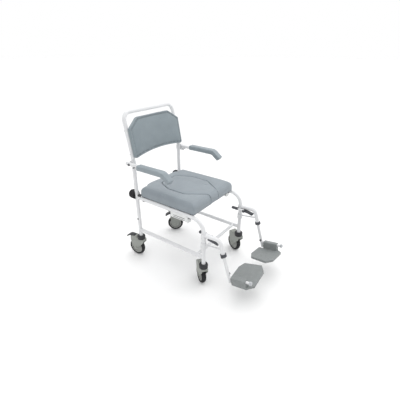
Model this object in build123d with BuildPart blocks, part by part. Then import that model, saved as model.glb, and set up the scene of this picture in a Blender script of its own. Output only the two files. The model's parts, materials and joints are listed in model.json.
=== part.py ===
from build123d import *
import os
from math import cos, radians, sin, tan

# A mobile shower and commode chair: +Z up, the sitter faces -Y and the sitter's left is +X.
# The origin is on the floor, in the middle of the chair's footprint. Units are millimetres.

SIDES = {"left": 1, "right": -1}

# ---- steel frame ----
TRACK = 446                      # between the leg centre lines, side to side
WHEELBASE = 549                  # between the front and rear leg centre lines
LEG_X = TRACK / 2
FRONT_LEG_Y = -167.4
REAR_LEG_Y = FRONT_LEG_Y + WHEELBASE
TUBE_R = 12.5
TUBE_BORE_R = 10.5
CROSS_TUBE_R = 10
LEG_FOOT_Z = 168                 # the leg tubes end here, on the castor heads
LOWER_RAIL_Z = 220
SEAT_RAIL_Z = 476
RAIL_BEND_R = 80                 # seat rail down into the front leg
LOWER_CROSS_Y = FRONT_LEG_Y + 50
UPPER_CROSS_YS = (FRONT_LEG_Y + 126, REAR_LEG_Y - 46)
UPPER_CROSS_Z = SEAT_RAIL_Z - 5
LEG_TOP_Z = 700                  # rear leg meets the back frame
BACK_BEND_Z = 745
RECLINE = 10.5                   # back frame from the vertical, degrees
HANDLE_Z = 1024
HANDLE_Y = REAR_LEG_Y + (HANDLE_Z - BACK_BEND_Z) * tan(radians(RECLINE))
BACK_BEND_R = 120
HANDLE_BEND_R = 50

# ---- seat ----
SEAT_HALF_WIDTH = 225
SEAT_FRONT_Y = FRONT_LEG_Y + 69
SEAT_CORNER_Y = REAR_LEG_Y - 32  # rear edge beside the posts
SEAT_REAR_Y = REAR_LEG_Y - 12    # rear edge between the posts
SEAT_STEP_X = 153
BOARD_BOTTOM = SEAT_RAIL_Z + TUBE_R + 0.2
BOARD_TOP = BOARD_BOTTOM + 4
SEAT_TOP = 556
BOARD_INSET = 6
INSERT_GAP = 2.5                 # around the insert in its keyhole
INSERT_LEDGE = 14                # what the insert rests on, all round
INSERT_PLUG_DROP = 9             # the insert's plug below the top of the board
INSERT_TOP = SEAT_TOP - 2
CLIP_YS = (FRONT_LEG_Y + 99, FRONT_LEG_Y + 254, REAR_LEG_Y - 68)
CLIP_WIDTH = 14
GUIDE_FRONT_Y = FRONT_LEG_Y + 110
GUIDE_LENGTH = 130
GUIDE_FLOOR_Z = 440
GUIDE_SLOT = (90, 4)              # length and height of each of the two slots in a guide's wall

# ---- backrest ----
BACK_PAD_HALF_WIDTH = 228
BACK_PAD_FOOT_Z = 746
BACK_PAD_HEIGHT = 246            # along the recline
BACK_PAD_THICKNESS = 28
BACK_PAD_DISH = 15               # how much deeper the pad sits at its middle
BACK_PAD_GAP = 0.9               # between the pad's edges and the tubes
BACK_SCREW_HEIGHTS = (28, 176)   # above the pad's foot, along the recline

# ---- armrests ----
ARM_X = 251
ARM_Z = 718
ARM_TUBE_R = 11
ARM_TAIL = 26                    # tube behind the pivot
ARM_BEND_Y = FRONT_LEG_Y + 262
ARM_DROOP = 36                   # the front of the arm points down, degrees
ARM_TIP_LENGTH = 68              # bend to the pad's tip
ARM_BEND_R = 38
ARM_PAD_REAR_Y = REAR_LEG_Y - 84
ARM_PAD_X = 262
ARM_PAD_WIDTH = 46
ARM_PAD_THICKNESS = 32
ARM_PAD_RISE = 1.5               # pad centre above the tube's axis
ARM_TIP_WALL = 16
PIVOT_R = 4
STOP_PIN_Y = REAR_LEG_Y - 34

# ---- footrest hangers ----
HANGER_TUBE_Z = 384              # where the tube leaves the upper sleeve
HANGER_CORNER = (FRONT_LEG_Y - 113, 390)
HANGER_LEAN = 17                 # the lower leg of the hanger from the vertical, degrees
HANGER_BEND_R = 36
HANGER_END_Z = 300
SLEEVE_R = 17
SLEEVE_BORE_R = TUBE_R + 0.06
UPPER_SLEEVE = (358, 396)
LOWER_SLEEVE = (303, 327)
STEM_R = 9.5
STEM_TOP_Z = 340
STEM_FOOT_Z = 124
COLLAR_R = 18
COLLAR_LENGTH = 18
COLLAR_LAP = 8                   # how far the collar reaches up over the hanger's end
BUTTON_R = 4
BUTTON_Z = HANGER_END_Z - 5
LEVER_X = LEG_X - 28             # release lever's pivot, on the inner side of the leg
LEVER_Y = FRONT_LEG_Y - 16
LEVER_Z = (374, 380)
LEVER_PIN_R = 3

# ---- footplates ----
SPIGOT_Y = FRONT_LEG_Y - 236     # a point on the flip-up axis, with its height
SPIGOT_Z = 169
SPIGOT_TILT = 9                  # the flip-up axis rises to the front, degrees
SPIGOT_R = 8
PLATE_RAISE = 8.5                # the inner edge stands higher than the outer, degrees
PLATE_DROP = 37                  # tread below the flip-up axis
PLATE_THICKNESS = 14
HOUSING_WIDTH = 36
HOUSING_RISE = 12                # housing above the flip-up axis
HOUSING_DEPTH = 49               # housing below it

# ---- castors ----
WHEEL_R = 62.5
TYRE_WIDTH = 30
TYRE_BORE_R = 47
TRAIL = 44
FORK_TOP_Z = 145
CROWN_BOTTOM_Z = 129
FORK_GAP = 35
FORK_WALL = 4
AXLE_R = 4
KINGPIN_R = 6
CUP_TOP_Z = 174                  # the covers reach up around the feet of the legs
HOOD_TOP_Z = 157                 # the fork's hood, behind the cover of the swivel bearing
PEDAL_PIVOT = (62, 150)
PEDAL_PIN_R = 3
RUNNING_GAP = 0.05
CASTORS = {                      # leg and the way each castor trails, degrees from +X
    "front_left": (LEG_X, FRONT_LEG_Y, 66),
    "front_right": (-LEG_X, FRONT_LEG_Y, 54),
    "rear_left": (LEG_X, REAR_LEG_Y, 130),
    "rear_right": (-LEG_X, REAR_LEG_Y, 97),
}
BRAKED = ("rear_left", "rear_right")


def keep(piece, node):
    """Label a finished piece and write it under its node's name."""
    piece.part.label = node
    export_step(piece.part, f"parts/{node}.step")


def carried(frame, local):
    """The plane that `local` becomes in a frame plane's own coordinates."""
    return Plane(frame.location * local.location)


def tube(corners, bends, radius, bore=0.0):
    """A round tube along straight runs joined by bends; `bends` holds one radius per corner."""
    with BuildPart() as piece:
        with BuildLine() as run:
            if bends:
                FilletPolyline(*corners, radius=bends)
            else:
                Line(*corners)
        with BuildSketch(Plane(origin=run.line @ 0, z_dir=run.line % 0)):
            Circle(radius)
            if bore:
                Circle(bore, mode=Mode.SUBTRACT)
        sweep()
    return piece


def rod_between(start, end, radius):
    """A solid rod, made to be joined to or cut from another piece."""
    direction = Vector(*end) - Vector(*start)
    with BuildPart() as piece:
        with BuildSketch(Plane(origin=start, z_dir=direction)):
            Circle(radius)
        extrude(amount=direction.length)
    return piece.part


# ==== frame ====


def make_rear_leg(side, name):
    with BuildPart() as rear_leg:
        with BuildSketch(Plane((side * LEG_X, REAR_LEG_Y, LEG_FOOT_Z))):
            Circle(TUBE_R)
            Circle(TUBE_BORE_R, mode=Mode.SUBTRACT)
        extrude(amount=LEG_TOP_Z - LEG_FOOT_Z)
    keep(rear_leg, f"rear_leg_{name}")


def make_back_frame():
    """One tube: up the right post, along the push handle and down the left post."""
    corners = [
        (-LEG_X, REAR_LEG_Y, LEG_TOP_Z),
        (-LEG_X, REAR_LEG_Y, BACK_BEND_Z),
        (-LEG_X, HANDLE_Y, HANDLE_Z),
        (LEG_X, HANDLE_Y, HANDLE_Z),
        (LEG_X, REAR_LEG_Y, BACK_BEND_Z),
        (LEG_X, REAR_LEG_Y, LEG_TOP_Z),
    ]
    bends = [BACK_BEND_R, HANDLE_BEND_R, HANDLE_BEND_R, BACK_BEND_R]
    back_frame = tube(corners, bends, TUBE_R, TUBE_BORE_R)
    keep(back_frame, "back_frame")


def make_side_frame(side, name):
    """Seat rail and front leg in one bent tube, coped onto the rear leg."""
    x = side * LEG_X
    corners = [
        (x, REAR_LEG_Y, SEAT_RAIL_Z),
        (x, FRONT_LEG_Y, SEAT_RAIL_Z),
        (x, FRONT_LEG_Y, LEG_FOOT_Z),
    ]
    blank = tube(corners, [RAIL_BEND_R], TUBE_R, TUBE_BORE_R)
    with BuildPart() as side_frame:
        add(blank.part)
        with Locations((x, REAR_LEG_Y, SEAT_RAIL_Z)):
            Cylinder(TUBE_R, 4 * TUBE_R, mode=Mode.SUBTRACT)
    keep(side_frame, f"side_frame_{name}")


def make_lower_side_rails():
    """The two straight rails that tie each rear leg to its front leg."""
    with BuildPart() as rails:
        for x in (-LEG_X, LEG_X):
            with BuildSketch(Plane.XZ.offset(-REAR_LEG_Y)):
                with Locations((x, LOWER_RAIL_Z)):
                    Circle(TUBE_R)
                    Circle(TUBE_BORE_R, mode=Mode.SUBTRACT)
        extrude(amount=WHEELBASE)
        with Locations(
            *[(x, y, LOWER_RAIL_Z) for x in (-LEG_X, LEG_X) for y in (FRONT_LEG_Y, REAR_LEG_Y)]
        ):
            Cylinder(TUBE_R, 4 * TUBE_R, mode=Mode.SUBTRACT)
    keep(rails, "lower_side_rails")


def make_cross_tubes():
    """One low cross tube behind the front legs and two under the seat, coped onto the rails."""
    places = [(LOWER_CROSS_Y, LOWER_RAIL_Z)] + [(y, UPPER_CROSS_Z) for y in UPPER_CROSS_YS]
    with BuildPart() as cross_tubes:
        with BuildSketch(Plane.YZ.offset(-LEG_X)):
            with Locations(*places):
                Circle(CROSS_TUBE_R)
                Circle(CROSS_TUBE_R - 2, mode=Mode.SUBTRACT)
        extrude(amount=TRACK)
        rail_heights = (LOWER_RAIL_Z, SEAT_RAIL_Z)
        with Locations(
            *[Location((x, 0, z), (90, 0, 0)) for x in (-LEG_X, LEG_X) for z in rail_heights]
        ):
            Cylinder(TUBE_R, 2 * WHEELBASE, mode=Mode.SUBTRACT)
    keep(cross_tubes, "cross_tubes")


def make_rear_buffers():
    """A rubber dome on the back of each rear leg."""
    depth, radius, rounding, height = 46, 31, 22, 493
    with BuildPart() as buffers:
        for x in (-LEG_X, LEG_X):
            with BuildSketch(Plane((x, REAR_LEG_Y + TUBE_R / 2, height), z_dir=(0, 1, 0))):
                Circle(radius)
        extrude(amount=depth + TUBE_R / 2)
        fillet(buffers.faces().group_by(Axis.Y)[-1].edges(), radius=rounding)
        for x in (-LEG_X, LEG_X):
            with Locations((x, REAR_LEG_Y, height)):
                Cylinder(TUBE_R, 4 * radius, mode=Mode.SUBTRACT)
    keep(buffers, "rear_buffers")


# ==== backrest ====

recline_up = Vector(0, sin(radians(RECLINE)), cos(radians(RECLINE)))
recline_front = Vector(0, -cos(radians(RECLINE)), sin(radians(RECLINE)))
back_foot_y = REAR_LEG_Y + (BACK_PAD_FOOT_Z - BACK_BEND_Z) * tan(radians(RECLINE))
# in the plane of the back tubes: local X to the sitter's left, Y up the recline, Z to the front
back_plane = Plane((0, back_foot_y, BACK_PAD_FOOT_Z), x_dir=(1, 0, 0), z_dir=recline_front)


def make_backrest_pad():
    """A dished pad with cut top corners and an arched lower edge."""
    half, height = BACK_PAD_HALF_WIDTH, BACK_PAD_HEIGHT
    corner_across, corner_down, arch = 85, 61, 21
    with BuildPart() as backrest_pad:
        with BuildSketch(back_plane) as outline:
            with BuildLine():
                Polyline(
                    (-half, 0),
                    (-half, height - corner_down),
                    (-half + corner_across, height),
                    (half - corner_across, height),
                    (half, height - corner_down),
                    (half, 0),
                )
                ThreePointArc((half, 0), (0, arch), (-half, 0))
            make_face()
            fillet(outline.vertices().group_by(Axis.Y)[0], radius=16)
            fillet(outline.vertices().group_by(Axis.Y)[-1], radius=40)
            fillet(outline.vertices().group_by(Axis.Y)[-2], radius=30)
        extrude(amount=3 * BACK_PAD_THICKNESS, both=True)
        with BuildSketch(carried(back_plane, Plane.XZ)):
            reach = half + 40
            near = TUBE_R + BACK_PAD_GAP + BACK_PAD_DISH * ((reach / half) ** 2 - 1)
            far = near + BACK_PAD_THICKNESS
            middle = TUBE_R + BACK_PAD_GAP - BACK_PAD_DISH
            with BuildLine():
                ThreePointArc((-reach, near), (0, middle), (reach, near))
                Line((reach, near), (reach, far))
                ThreePointArc((reach, far), (0, middle + BACK_PAD_THICKNESS), (-reach, far))
                Line((-reach, far), (-reach, near))
            make_face()
        extrude(amount=2 * height, both=True, mode=Mode.INTERSECT)
    keep(backrest_pad, "backrest_pad")


def make_frame_screws():
    """Screws through the back tubes into the pad, and one in the side of each rear leg."""
    head_r, head_height, leg_screw_z = 5.5, 3.5, 312
    with BuildPart() as screws:
        for x in (-LEG_X, LEG_X):
            for up in BACK_SCREW_HEIGHTS:
                with BuildSketch(carried(back_plane, Plane((x, up, -TUBE_R)))):
                    Circle(head_r)
                extrude(amount=-head_height)
            outward = (x / LEG_X, 0, 0)
            outer_face = (x + x / LEG_X * TUBE_R, REAR_LEG_Y, leg_screw_z)
            with BuildSketch(Plane(outer_face, z_dir=outward)):
                Circle(head_r)
            extrude(amount=head_height)
    keep(screws, "frame_screws")


# ==== seat ====


def seat_outline(height, inset=0.0):
    """The seat from above: square front, rear corners cut back to clear the posts."""
    half = SEAT_HALF_WIDTH
    with BuildSketch(Plane.XY.offset(height)) as outline:
        with BuildLine():
            Polyline(
                (-half, SEAT_FRONT_Y),
                (half, SEAT_FRONT_Y),
                (half, SEAT_CORNER_Y),
                (SEAT_STEP_X, SEAT_CORNER_Y),
                (SEAT_STEP_X, SEAT_REAR_Y),
                (-SEAT_STEP_X, SEAT_REAR_Y),
                (-SEAT_STEP_X, SEAT_CORNER_Y),
                (-half, SEAT_CORNER_Y),
                close=True,
            )
        make_face()
        fillet(outline.vertices(), radius=10)
        if inset:
            offset(amount=-inset)
    return outline.sketch


def keyhole_outline(height, inset=0.0):
    """The keyhole from above: a wide opening that narrows to a slot through the front edge."""
    wide, slot = 130, 45
    rear_y, widest_y, narrowing_y = REAR_LEG_Y - 88, REAR_LEG_Y - 200, REAR_LEG_Y - 331
    throat_y, front_y = SEAT_FRONT_Y + 18, SEAT_FRONT_Y - 30
    with BuildSketch(Plane.XY.offset(height)) as outline:
        with BuildLine():
            Polyline(
                (-slot, front_y),
                (slot, front_y),
                (slot, throat_y),
                (wide, narrowing_y),
                (wide, widest_y),
                (wide - 50, rear_y),
                (50 - wide, rear_y),
                (-wide, widest_y),
                (-wide, narrowing_y),
                (-slot, throat_y),
                close=True,
            )
        make_face()
        fillet(outline.vertices().filter_by(lambda corner: corner.Y > front_y + 1), radius=32)
        if inset:
            offset(amount=-inset)
    return outline.sketch


def make_seat_board():
    """The stiff plate under the pad; its keyhole is smaller, so the insert rests on its rim."""
    with BuildPart() as board:
        extrude(seat_outline(BOARD_BOTTOM, BOARD_INSET), amount=BOARD_TOP - BOARD_BOTTOM)
        extrude(
            keyhole_outline(BOARD_BOTTOM - 1, INSERT_LEDGE),
            amount=BOARD_TOP - BOARD_BOTTOM + 2,
            mode=Mode.SUBTRACT,
        )
    keep(board, "seat_board")


def make_seat_pad():
    """The moulded cushion with its keyhole, on top of the board."""
    with BuildPart() as seat_pad:
        extrude(seat_outline(BOARD_TOP), amount=SEAT_TOP - BOARD_TOP)
        rim = seat_pad.faces().sort_by(Axis.Z)[-1].outer_wire()
        fillet(rim.edges(), radius=8)
        extrude(keyhole_outline(BOARD_TOP - 1), amount=SEAT_TOP, mode=Mode.SUBTRACT)
    keep(seat_pad, "seat_pad")


def make_seat_insert():
    """The lift-out cushion that fills the keyhole, with a plug through the board."""
    base = BOARD_TOP + 0.3
    with BuildPart() as insert:
        extrude(keyhole_outline(base, INSERT_GAP), amount=INSERT_TOP - base)
        extrude(
            keyhole_outline(BOARD_TOP - INSERT_PLUG_DROP, INSERT_LEDGE + INSERT_GAP),
            amount=INSERT_PLUG_DROP + 1,
        )
        extrude(seat_outline(0), amount=SEAT_TOP + 1, mode=Mode.INTERSECT)
    keep(insert, "seat_insert")


def make_seat_clips():
    """Six plastic hooks under the board, each round the inner side and foot of its seat rail."""
    wall, lip_z = 2.5, SEAT_RAIL_Z - 6
    with BuildPart() as clips:
        for side in SIDES.values():
            x = side * LEG_X
            for y in CLIP_YS:
                with BuildSketch(Plane.XZ.offset(-y - CLIP_WIDTH / 2)):
                    with Locations((x, SEAT_RAIL_Z)):
                        Circle(TUBE_R + wall)
                    with Locations((x - side * (TUBE_R + wall) / 2, (lip_z + BOARD_BOTTOM) / 2)):
                        Rectangle(TUBE_R + wall, BOARD_BOTTOM - lip_z)
                    with Locations((x + side * TUBE_R, lip_z + TUBE_R)):
                        Rectangle(2 * TUBE_R, 2 * TUBE_R, mode=Mode.SUBTRACT)
                    with Locations((x, BOARD_BOTTOM + TUBE_R)):
                        Rectangle(4 * TUBE_R, 2 * TUBE_R, mode=Mode.SUBTRACT)
                    with Locations((x, SEAT_RAIL_Z)):
                        Circle(TUBE_R, mode=Mode.SUBTRACT)
                extrude(amount=CLIP_WIDTH)
    keep(clips, "seat_clips")


def make_seat_hooks():
    """A dark block at each rear corner of the board that bears on the post."""
    height, width = 10, 20
    start_y = SEAT_CORNER_Y - BOARD_INSET
    with BuildPart() as hooks:
        for x in (-LEG_X + 5, LEG_X - 5):
            with Locations((x, start_y, BOARD_BOTTOM)):
                Box(
                    width,
                    REAR_LEG_Y - start_y,
                    height,
                    align=(Align.CENTER, Align.MIN, Align.MIN),
                )
        extrude(seat_outline(BOARD_BOTTOM - 1), amount=height + 2, mode=Mode.SUBTRACT)
        for x in (-LEG_X, LEG_X):
            with Locations((x, REAR_LEG_Y, BOARD_BOTTOM)):
                Cylinder(TUBE_R, 4 * height, mode=Mode.SUBTRACT)
    keep(hooks, "seat_hooks")


def make_pan_guides():
    """Slotted plastic channels under the seat rails that a commode pan slides along."""
    outer, wall, floor_width, saddle = LEG_X + TUBE_R + 3.5, 3, 36, 12
    rear_y = GUIDE_FRONT_Y + GUIDE_LENGTH
    with BuildPart() as guides:
        for side in SIDES.values():
            with BuildSketch(Plane.XZ.offset(-rear_y)):
                with BuildLine():
                    Polyline(
                        (side * outer, GUIDE_FLOOR_Z),
                        (side * outer, SEAT_RAIL_Z + 2),
                        (side * (outer - saddle), SEAT_RAIL_Z + 2),
                        (side * (outer - saddle), SEAT_RAIL_Z - TUBE_R - 2),
                        (side * (outer - wall), SEAT_RAIL_Z - TUBE_R - 2),
                        (side * (outer - wall), GUIDE_FLOOR_Z + wall),
                        (side * (outer - floor_width), GUIDE_FLOOR_Z + wall),
                        (side * (outer - floor_width), GUIDE_FLOOR_Z),
                        close=True,
                    )
                make_face()
            extrude(amount=GUIDE_LENGTH)
            with Locations((side * (outer - floor_width / 2), GUIDE_FRONT_Y, GUIDE_FLOOR_Z - 6)):
                Box(floor_width, 4, 34, align=(Align.CENTER, Align.MAX, Align.MIN))
            with Locations(Location((side * LEG_X, REAR_LEG_Y, SEAT_RAIL_Z), (90, 0, 0))):
                Cylinder(TUBE_R, 2 * WHEELBASE, mode=Mode.SUBTRACT)
        slots_at = ((GUIDE_FRONT_Y + rear_y) / 2, GUIDE_FLOOR_Z + 12)
        with BuildSketch(Plane.YZ.offset(-outer - 1)):
            with Locations(slots_at):
                with GridLocations(0, 11, 1, 2):
                    SlotOverall(*GUIDE_SLOT)
        extrude(amount=2 * outer + 2, mode=Mode.SUBTRACT)
    keep(guides, "pan_guides")


# ==== armrests ====


def arm_path_corners(side, start_y, tip_length):
    """Level from start_y to the bend, then down towards the tip."""
    droop = radians(ARM_DROOP)
    tip = (side * ARM_X, ARM_BEND_Y - tip_length * cos(droop), ARM_Z - tip_length * sin(droop))
    return [(side * ARM_X, start_y, ARM_Z), (side * ARM_X, ARM_BEND_Y, ARM_Z), tip]


def make_arm_brackets():
    """A ring on each rear leg with a half-round ear that carries the arm's pivot and stop."""
    ring_r, ring_height, ear_inner, ear_outer = 15.5, 28, 12.6, 16.4
    ear_r, lug_r = 20, 8
    stop_z = ARM_Z - ARM_TUBE_R - PIVOT_R - 0.4
    with BuildPart() as brackets:
        for side in SIDES.values():
            x = side * LEG_X
            with Locations((x, REAR_LEG_Y, ARM_Z)):
                Cylinder(ring_r, ring_height)
            ear_plane = Plane((x + side * ear_inner, REAR_LEG_Y, ARM_Z), (0, 1, 0), (side, 0, 0))
            with BuildSketch(ear_plane):
                Circle(ear_r)
            extrude(amount=ear_outer - ear_inner)
            lug = (x + side * (ear_inner + ear_outer) / 2, (STOP_PIN_Y + REAR_LEG_Y) / 2, stop_z)
            with Locations(lug):
                Box(ear_outer - ear_inner, REAR_LEG_Y - STOP_PIN_Y + 2 * lug_r, 2 * lug_r)
            with Locations(Location((x, REAR_LEG_Y, ARM_Z))):
                Cylinder(TUBE_R, 3 * ring_height, mode=Mode.SUBTRACT)
            for y, z in ((REAR_LEG_Y, ARM_Z), (STOP_PIN_Y, stop_z)):
                with Locations(Location((x + side * 20, y, z), (0, 90, 0))):
                    Cylinder(PIVOT_R, 16, mode=Mode.SUBTRACT)
    keep(brackets, "arm_brackets")


def make_arm_pivots():
    """Headed pivot bolts through the arm tubes, and the stop pins that the arms rest on."""
    stop_z = ARM_Z - ARM_TUBE_R - PIVOT_R - 0.4
    start_x, head_x = LEG_X + TUBE_R, ARM_X + ARM_TUBE_R + 0.5
    with BuildPart() as pivots:
        for side in SIDES.values():
            facing = (side, 0, 0)
            with BuildSketch(Plane((side * start_x, REAR_LEG_Y, ARM_Z), z_dir=facing)):
                Circle(PIVOT_R)
            extrude(amount=head_x - start_x)
            with BuildSketch(Plane((side * head_x, REAR_LEG_Y, ARM_Z), z_dir=facing)):
                Circle(8)
            extrude(amount=5)
            pin_start = (side * start_x, STOP_PIN_Y, stop_z)
            with BuildSketch(Plane(pin_start, z_dir=facing)):
                Circle(PIVOT_R)
            extrude(amount=ARM_X + ARM_TUBE_R - start_x)
    keep(pivots, "arm_pivots")


def make_armrest_tube(side, name):
    """The arm's tube, with the cross hole for its pivot bolt."""
    start_y = REAR_LEG_Y + ARM_TAIL
    corners = arm_path_corners(side, start_y, ARM_TIP_LENGTH - ARM_TIP_WALL)
    blank = tube(corners, [ARM_BEND_R], ARM_TUBE_R, ARM_TUBE_R - 2)
    with BuildPart() as armrest_tube:
        add(blank.part)
        with Locations(Location((side * ARM_X, REAR_LEG_Y, ARM_Z), (0, 90, 0))):
            Cylinder(PIVOT_R + RUNNING_GAP, 4 * ARM_TUBE_R, mode=Mode.SUBTRACT)
    keep(armrest_tube, f"armrest_tube_{name}")


def make_armrest_cap(side, name):
    """The round plug that closes the tube's rear end."""
    start_y = REAR_LEG_Y + ARM_TAIL
    with BuildPart() as cap:
        with BuildSketch(Plane((side * ARM_X, start_y, ARM_Z), z_dir=(0, 1, 0))):
            Circle(ARM_TUBE_R + 1)
        extrude(amount=7)
        fillet(cap.faces().sort_by(Axis.Y)[-1].edges(), radius=4)
        with BuildSketch(Plane((side * ARM_X, start_y, ARM_Z), z_dir=(0, -1, 0))):
            Circle(ARM_TUBE_R - 2)
        extrude(amount=12)
    keep(cap, f"armrest_cap_{name}")


def make_armrest_pad(side, name):
    """A moulded pad around the tube, bent down with it at the front."""
    corners = arm_path_corners(side, ARM_PAD_REAR_Y, ARM_TIP_LENGTH)
    tube_corners = arm_path_corners(side, REAR_LEG_Y, ARM_TIP_LENGTH - ARM_TIP_WALL + 1)
    core = tube(tube_corners, [ARM_BEND_R], ARM_TUBE_R + 0.1)
    section_plane = Plane(corners[0], x_dir=(side, 0, 0), z_dir=(0, -1, 0))
    rise = ARM_PAD_RISE * section_plane.y_dir.Z
    with BuildPart() as pad:
        with BuildLine():
            FilletPolyline(*corners, radius=ARM_BEND_R)
        with BuildSketch(section_plane):
            with Locations((ARM_PAD_X - ARM_X, rise)):
                RectangleRounded(ARM_PAD_WIDTH, ARM_PAD_THICKNESS, 9)
        sweep()
        add(core.part, mode=Mode.SUBTRACT)
    keep(pad, f"armrest_pad_{name}")


# ==== footrest hangers ====

hanger_down = Vector(0, -sin(radians(HANGER_LEAN)), -cos(radians(HANGER_LEAN)))


def hanger_point(z):
    """Y and Z of the point at height z on the hanger's leaning axis."""
    corner_y, corner_z = HANGER_CORNER
    return corner_y - (corner_z - z) * tan(radians(HANGER_LEAN)), z


def make_hanger(side, name):
    """The swing-away hanger: a bent tube, two sleeves on the front leg and a brace, welded."""
    x = side * LEG_X
    inner_x = side * LEVER_X
    brace_start = (x, FRONT_LEG_Y, (LOWER_SLEEVE[0] + LOWER_SLEEVE[1]) / 2)
    brace_end = (x, *hanger_point(336))
    lug_bottom, lug_top = LEVER_Z[0] - 6.5, LEVER_Z[0] - 0.5
    corners = [
        (x, FRONT_LEG_Y, HANGER_TUBE_Z),
        (x, *HANGER_CORNER),
        (x, *hanger_point(HANGER_END_Z)),
    ]
    outer = tube(corners, [HANGER_BEND_R], TUBE_R)
    with BuildPart() as hanger:
        add(outer.part)
        add(rod_between(brace_start, brace_end, 5))
        for low, high in (UPPER_SLEEVE, LOWER_SLEEVE):
            with BuildSketch(Plane((x, FRONT_LEG_Y, low))):
                Circle(SLEEVE_R)
            extrude(amount=high - low)
        with BuildSketch(Plane((0, 0, lug_bottom))):
            with Locations((inner_x, LEVER_Y)):
                Circle(7)
            with BuildLine():
                Polyline(
                    (inner_x - side * 4, LEVER_Y + 6),
                    (inner_x - side * 4, LEVER_Y - 6.5),
                    (x, FRONT_LEG_Y - 16),
                    (x - side * 8, FRONT_LEG_Y),
                    close=True,
                )
            make_face()
        extrude(amount=lug_top - lug_bottom)
        with BuildSketch(Plane((inner_x, LEVER_Y, lug_bottom))):
            Circle(LEVER_PIN_R)
        extrude(amount=LEVER_Z[1] + 2 - lug_bottom)
        with BuildSketch(Plane((x, FRONT_LEG_Y, LOWER_SLEEVE[0] - 1))):
            Circle(SLEEVE_BORE_R)
        extrude(amount=UPPER_SLEEVE[1] - LOWER_SLEEVE[0] + 20, mode=Mode.SUBTRACT)
        end = Vector(x, *hanger_point(HANGER_END_Z)) + hanger_down
        top = Vector(x, *hanger_point(STEM_TOP_Z + 24))
        add(rod_between(end, top, STEM_R + 0.1), mode=Mode.SUBTRACT)
    keep(hanger, f"hanger_{name}")


def make_hanger_collar(side, name):
    """The clamp ring on the hanger's open end that guides the stem and holds the button."""
    x = side * LEG_X
    mouth = Vector(x, *hanger_point(HANGER_END_Z))
    collar_plane = Plane(mouth - hanger_down * COLLAR_LAP, x_dir=(side, 0, 0), z_dir=hanger_down)
    button_at = Vector(x, *hanger_point(BUTTON_Z))
    with BuildPart() as collar:
        with BuildSketch(collar_plane):
            Circle(COLLAR_R)
        extrude(amount=COLLAR_LENGTH)
        with BuildSketch(Plane(button_at, z_dir=(side, 0, 0))):
            Circle(BUTTON_R + 3)
        extrude(amount=COLLAR_R + 2)
        with BuildSketch(collar_plane.offset(-1)):
            Circle(STEM_R + 0.1)
        extrude(amount=COLLAR_LENGTH + 10, mode=Mode.SUBTRACT)
        with BuildSketch(collar_plane.offset(-1)):
            Circle(TUBE_R)
        extrude(amount=COLLAR_LAP + 1, mode=Mode.SUBTRACT)
        with BuildSketch(Plane(button_at, z_dir=(side, 0, 0))):
            Circle(BUTTON_R + RUNNING_GAP)
        extrude(amount=COLLAR_R + 4, mode=Mode.SUBTRACT)
    keep(collar, f"hanger_collar_{name}")


def make_height_button(side, name):
    """The sprung button that frees the stem."""
    inner, outer = STEM_R + 4.5, COLLAR_R + 5.5
    button_at = Vector(side * (LEG_X + inner), *hanger_point(BUTTON_Z))
    with BuildPart() as button:
        with BuildSketch(Plane(button_at, z_dir=(side, 0, 0))):
            Circle(BUTTON_R)
        extrude(amount=outer - inner)
        fillet(button.faces().sort_by(Axis.X)[-1 if side > 0 else 0].edges(), radius=1.5)
    keep(button, f"height_button_{name}")


def make_rest_collars():
    """A ring fixed to each front leg, which carries the hanger's lower sleeve."""
    height = 9
    with BuildPart() as rest_collars:
        for x in (-LEG_X, LEG_X):
            with BuildSketch(Plane((x, FRONT_LEG_Y, LOWER_SLEEVE[0] - 0.3 - height))):
                Circle(SLEEVE_R + 1)
                Circle(TUBE_R, mode=Mode.SUBTRACT)
            extrude(amount=height)
    keep(rest_collars, "hanger_rest_collars")


def make_release_lever(side, name):
    """A flat steel bar beside the leg, between a thumb tab behind it and a paddle in front."""
    inner, low, high = side * LEVER_X, *LEVER_Z
    tab_rear, tab_front, paddle_rear = FRONT_LEG_Y + 50, FRONT_LEG_Y + 3, LEVER_Y - 14
    with BuildPart() as lever:
        with BuildSketch(Plane((0, 0, low))) as outline:
            with BuildLine():
                Polyline(
                    (inner - side * 2, paddle_rear - 12),
                    (inner + side * 6, paddle_rear - 12),
                    (inner + side * 7, LEVER_Y - 6),
                    (inner + side * 6, LEVER_Y + 8),
                    (inner + side * 6, tab_rear - 8),
                    (inner - side * 2, tab_rear - 8),
                    (inner - side * 6, LEVER_Y + 4),
                    close=True,
                )
            make_face()
            fillet(outline.vertices(), radius=2)
            with Locations((inner, LEVER_Y)):
                Circle(LEVER_PIN_R + RUNNING_GAP, mode=Mode.SUBTRACT)
        extrude(amount=high - low)
    keep(lever, f"release_lever_{name}")
    with BuildPart() as grips:
        with BuildSketch(Plane.YZ.offset(side * (LEG_X - 8) - 12)) as side_view:
            with BuildLine():
                Polyline(
                    (paddle_rear, low - 2.5),
                    (paddle_rear - 36, low - 5),
                    (paddle_rear - 72, low - 13),
                    (paddle_rear - 75, low - 19),
                    (paddle_rear - 70, low - 24),
                    (paddle_rear - 36, low - 17),
                    (paddle_rear, low - 13),
                    close=True,
                )
            make_face()
            fillet(side_view.vertices(), radius=2)
        extrude(amount=24)
        with Locations((inner + side * 3.5, paddle_rear - 8, low - 3.5)):
            Box(15, 15, 19)
        with Locations((inner, (tab_rear + tab_front) / 2, (low + high) / 2 - 1)):
            Box(14, tab_rear - tab_front, 15)
        fillet(grips.edges().filter_by(Axis.X).group_by(Axis.Y)[-1], radius=2)
        add(lever.part, mode=Mode.SUBTRACT)
    keep(grips, f"lever_grips_{name}")


# ==== footrests ====

spigot_forward = Vector(0, -cos(radians(SPIGOT_TILT)), sin(radians(SPIGOT_TILT)))


def spigot_point(side, forward):
    """A point on the flip-up axis, `forward` of its reference point."""
    return Vector(side * LEG_X, SPIGOT_Y, SPIGOT_Z) + spigot_forward * forward


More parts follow.
